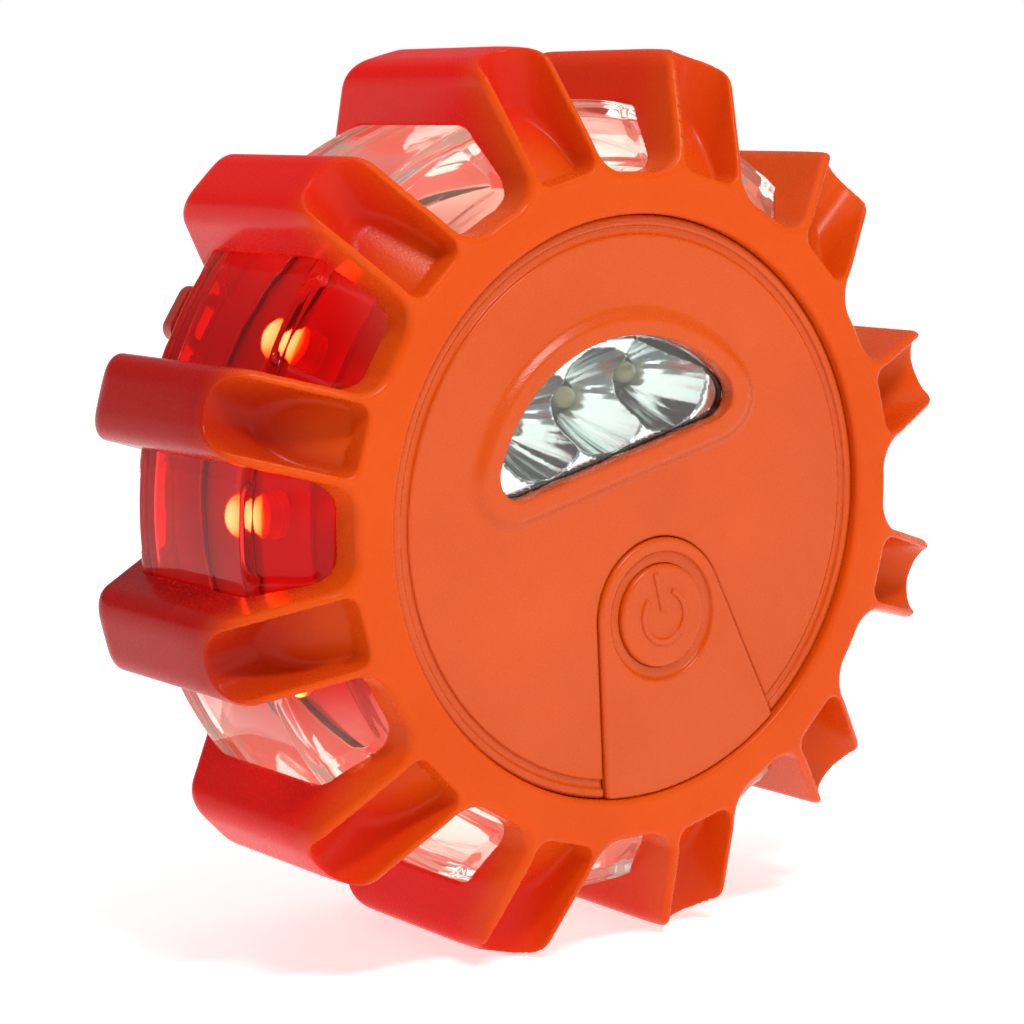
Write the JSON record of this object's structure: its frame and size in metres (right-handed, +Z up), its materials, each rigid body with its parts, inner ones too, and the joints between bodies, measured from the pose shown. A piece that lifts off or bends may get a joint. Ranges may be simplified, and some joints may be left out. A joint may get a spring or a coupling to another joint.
{
  "type": "led safety flare",
  "caption": "Round road safety flare with a hollow-lugged rubber bumper, clear lens drum, red flashing lights, a face torch, one button, a rear magnet and a folding hanging loop.",
  "frame": {"origin": "under the middle of the flare, on the surface that its two lowest lugs stand on", "axes": "+Z up, the face with the button and torch towards -Y, the magnet and loop towards +Y, +X to the right seen from the front"},
  "size_m": [0.1042, 0.044, 0.1041],
  "materials": {
    "bumper_rubber": "satin moulded rubber with a fine grain",
    "orange_plastic": "fine satin grain",
    "soft_orange": "satin",
    "clear_pane": "clear, polished",
    "reflector_chrome": "vacuum metallised",
    "white_light": "clear dome over a yellow phosphor",
    "board_green": "solder mask",
    "component_black": "moulded",
    "plunger_plastic": "moulded",
    "clear_drum": "clear, polished",
    "strip_white": "white solder mask",
    "red_light": "clear red dome",
    "seal_black": "smooth",
    "tray_black": "moulded",
    "battery_can": "plain sleeve with a bare steel end",
    "contact_steel": "nickel plated",
    "lead_red": "insulated wire",
    "magnet_steel": "nickel plated",
    "screw_steel": "zinc plated",
    "loop_red": "satin"
  },
  "bodies": {
    "case": {"rubber_bumper": "bumper_rubber", "front_cover": "orange_plastic", "button_surround": "soft_orange", "torch_lens": "clear_pane", "torch_reflector": "reflector_chrome", "white_leds": "white_light", "main_board": "board_green", "board_components": "component_black", "switch_body": "component_black", "front_lens": "clear_drum", "rear_lens": "clear_drum", "led_ring_board": "strip_white", "red_leds": "red_light", "front_seal": "seal_black", "rear_seal": "seal_black", "battery_seal": "seal_black", "rear_shell": "orange_plastic", "battery_tray": "tray_black", "battery_1": "battery_can", "battery_2": "battery_can", "battery_3": "battery_can", "contact_springs": "contact_steel", "contact_plates": "contact_steel", "battery_leads": "lead_red", "battery_cover": "orange_plastic", "magnet": "magnet_steel", "battery_cover_screws": "screw_steel", "case_screws": "screw_steel", "loop_pin": "screw_steel"},
    "button": {"power_button": "soft_orange"},
    "plunger": {"switch_plunger": "plunger_plastic"},
    "loop": {"hanging_loop": "loop_red"}
  },
  "joints": [
    {"name": "button_press", "type": "slide", "parent": "case", "child": "button", "axis": [0, 1, 0], "range_m": [0, 0.0006], "stiffness_N_per_m": 3000, "springref_m": -0.0002},
    {"name": "plunger_press", "type": "slide", "parent": "case", "child": "plunger", "axis": [0, 1, 0], "range_m": [0, 0.0006]},
    {"name": "loop_fold", "type": "hinge", "parent": "case", "child": "loop", "pos_m": [-0.02103, 0.02075, 0.06519], "axis": [-0.5299, 0, -0.848], "range_deg": [0, 110]}
  ],
  "couplings": [
    {"joint": "plunger_press", "follows": "button_press", "ratio": 1}
  ]
}
